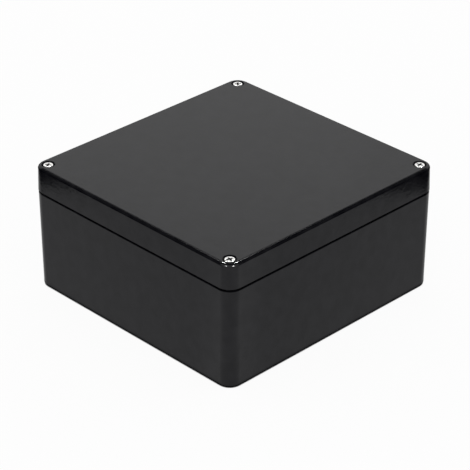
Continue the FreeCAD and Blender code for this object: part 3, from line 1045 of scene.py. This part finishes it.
def make_cloths(settings, turn_step=3, collar_rows=3, canopy_rows=16):
    """Black cloths that keep a dark room in the lid's rounds, while its flat top mirrors white.

    Columns are turns from straight behind the box. The collar is a low wall whose height falls to
    nothing towards the camera. The canopy is part of a sphere: its rows go in equal steps from a
    lower edge, which is a function of the turn, up to the zenith.
    """
    material = cloth_material(settings)
    turns = np.arange(-180, 181, turn_step)
    heading = heading_of(turns)
    aside = np.abs(turns)

    heights = settings.collar_height * np.interp(aside, COLLAR_TURNS, COLLAR_HEIGHTS)
    radii = settings.collar_radius * np.interp(turns, COLLAR_ENDS, COLLAR_RADII)
    collar = np.empty((collar_rows, len(turns), 3))
    collar[..., 0] = radii * np.cos(heading)
    collar[..., 1] = radii * np.sin(heading)
    collar[..., 2] = heights * np.linspace(0, 1, collar_rows)[:, None]
    make_cloth("black_collar", collar, material)

    edge = np.radians(np.interp(aside, CANOPY_TURNS, CANOPY_EDGES))
    rise = edge + (QUARTER_TURN - edge) * np.linspace(0, 1, canopy_rows)[:, None]
    canopy = np.empty(rise.shape + (3,))
    canopy[..., 0] = settings.canopy_radius * np.cos(rise) * np.cos(heading)
    canopy[..., 1] = settings.canopy_radius * np.cos(rise) * np.sin(heading)
    canopy[..., 2] = settings.canopy_radius * np.sin(rise)
    make_cloth("black_canopy", canopy, material)


def make_lamp(name, turn, elevation, distance, size, radiance, mirrored_only=False):
    """Lamp that faces the box; its power is its radiance times pi times its area."""
    lamp = bpy.data.lights.new(name, "AREA")
    lamp.shape = "RECTANGLE"
    lamp.size, lamp.size_y = size
    lamp.energy = radiance * math.pi * size[0] * size[1]
    holder = bpy.data.objects.new(name, lamp)
    way = direction(turn, elevation)
    holder.location = way * distance + LAMP_AIM
    holder.rotation_euler = way.to_track_quat("Z", "Y").to_euler()
    holder.visible_camera = False
    holder.visible_diffuse = not mirrored_only
    bpy.context.scene.collection.objects.link(holder)


def make_lamps(settings):
    """The softboxes behind the box and the small lamps that only mirrors see."""
    for name, (elevation, height) in SOFTBOXES.items():
        size = (SOFTBOX_WIDTH, height)
        make_lamp(name, SOFTBOX_TURN, elevation, SOFTBOX_DISTANCE, size, settings.softbox_radiance)
    for name, place in HIGHLIGHT_LAMPS.items():
        size = (settings.highlight_size, settings.highlight_size)
        make_lamp(name, *place, size, settings.highlight_radiance, mirrored_only=True)


def make_camera(settings):
    """Camera at the photographed angle."""
    lens = bpy.data.cameras.new("camera")
    lens.lens = settings.lens
    lens.sensor_width = SENSOR_WIDTH
    back = -direction(0, 0) * math.cos(settings.elevation)
    back.z = math.sin(settings.elevation)
    camera = bpy.data.objects.new("camera", lens)
    camera.location = Vector(settings.aim) + back * settings.distance
    turn = back.to_track_quat("Z", "Y").to_matrix() @ Matrix.Rotation(settings.roll, 3, "Z")
    camera.rotation_euler = turn.to_euler()
    bpy.context.scene.collection.objects.link(camera)
    bpy.context.scene.camera = camera


# Operators


class PROJECTBOX_OT_base(bpy.types.Operator):
    """Finish the base: smoothed moulding in black plastic."""

    bl_idname = "project_box.base"
    bl_label = "Finish the base"

    def execute(self, context):
        make_moulding(context.scene.project_box.moulding, "base")
        return {"FINISHED"}


class PROJECTBOX_OT_lid(bpy.types.Operator):
    """Finish the lid: smoothed moulding in black plastic."""

    bl_idname = "project_box.lid"
    bl_label = "Finish the lid"

    def execute(self, context):
        make_moulding(context.scene.project_box.moulding, "lid")
        return {"FINISHED"}


class PROJECTBOX_OT_gasket(bpy.types.Operator):
    """Make the sealing ring in the lid's groove."""

    bl_idname = "project_box.gasket"
    bl_label = "Make the sealing ring"

    def execute(self, context):
        settings = context.scene.project_box.gasket
        make_gasket(settings, seal_rubber(settings))
        return {"FINISHED"}


class PROJECTBOX_OT_screws(bpy.types.Operator):
    """Make the four threaded lid screws."""

    bl_idname = "project_box.screws"
    bl_label = "Make the lid screws"

    def execute(self, context):
        settings = context.scene.project_box.screw
        material = plated_steel(settings)
        for corner in CORNERS:
            make_screw(settings, corner, material)
        return {"FINISHED"}


class PROJECTBOX_OT_inserts(bpy.types.Operator):
    """Make the four knurled inserts in the base's posts."""

    bl_idname = "project_box.inserts"
    bl_label = "Make the threaded inserts"

    def execute(self, context):
        settings = context.scene.project_box
        material = turned_brass(settings.insert)
        for corner in CORNERS:
            make_insert(settings.insert, settings.screw, corner, material)
        return {"FINISHED"}


class PROJECTBOX_OT_stage(bpy.types.Operator):
    """Make the light, the floor, the black cloths and the camera."""

    bl_idname = "project_box.stage"
    bl_label = "Make the stage"

    def execute(self, context):
        settings = context.scene.project_box.stage
        make_world(settings)
        make_floor(settings)
        make_cloths(settings)
        make_lamps(settings)
        make_camera(settings)
        context.scene.view_settings.view_transform = "Standard"
        return {"FINISHED"}


class PROJECTBOX_PT_sidebar(bpy.types.Panel):
    """Lists the pieces and their settings."""

    bl_idname = "PROJECTBOX_PT_sidebar"
    bl_label = "Project box"
    bl_space_type = "VIEW_3D"
    bl_region_type = "UI"
    bl_category = "Project box"

    def draw(self, context):
        settings = context.scene.project_box
        for title, group, operators in PANEL_ROWS:
            column = self.layout.column(align=True)
            column.label(text=title)
            values = getattr(settings, group)
            for name in values.__annotations__:
                column.prop(values, name)
            for operator in operators:
                column.operator(operator)


PANEL_ROWS = (
    ("Mouldings", "moulding", ("project_box.base", "project_box.lid")),
    ("Sealing ring", "gasket", ("project_box.gasket",)),
    ("Lid screws", "screw", ("project_box.screws",)),
    ("Threaded inserts", "insert", ("project_box.inserts",)),
    ("Stage", "stage", ("project_box.stage",)),
)

CLASSES = (
    MouldingSettings,
    ScrewSettings,
    InsertSettings,
    GasketSettings,
    StageSettings,
    ProjectBoxSettings,
    PROJECTBOX_OT_base,
    PROJECTBOX_OT_lid,
    PROJECTBOX_OT_gasket,
    PROJECTBOX_OT_screws,
    PROJECTBOX_OT_inserts,
    PROJECTBOX_OT_stage,
    PROJECTBOX_PT_sidebar,
)


def register():
    """Make the settings, operators and panel known to Blender."""
    for item in CLASSES:
        bpy.utils.register_class(item)
    bpy.types.Scene.project_box = PointerProperty(type=ProjectBoxSettings)


def unregister():
    """Take them away again."""
    del bpy.types.Scene.project_box
    for item in reversed(CLASSES):
        bpy.utils.unregister_class(item)


def main():
    """Make every piece and the stage."""
    register()
    bpy.ops.project_box.base()
    bpy.ops.project_box.lid()
    bpy.ops.project_box.gasket()
    bpy.ops.project_box.screws()
    bpy.ops.project_box.inserts()
    bpy.ops.project_box.stage()


if __name__ == "__main__":
    main()
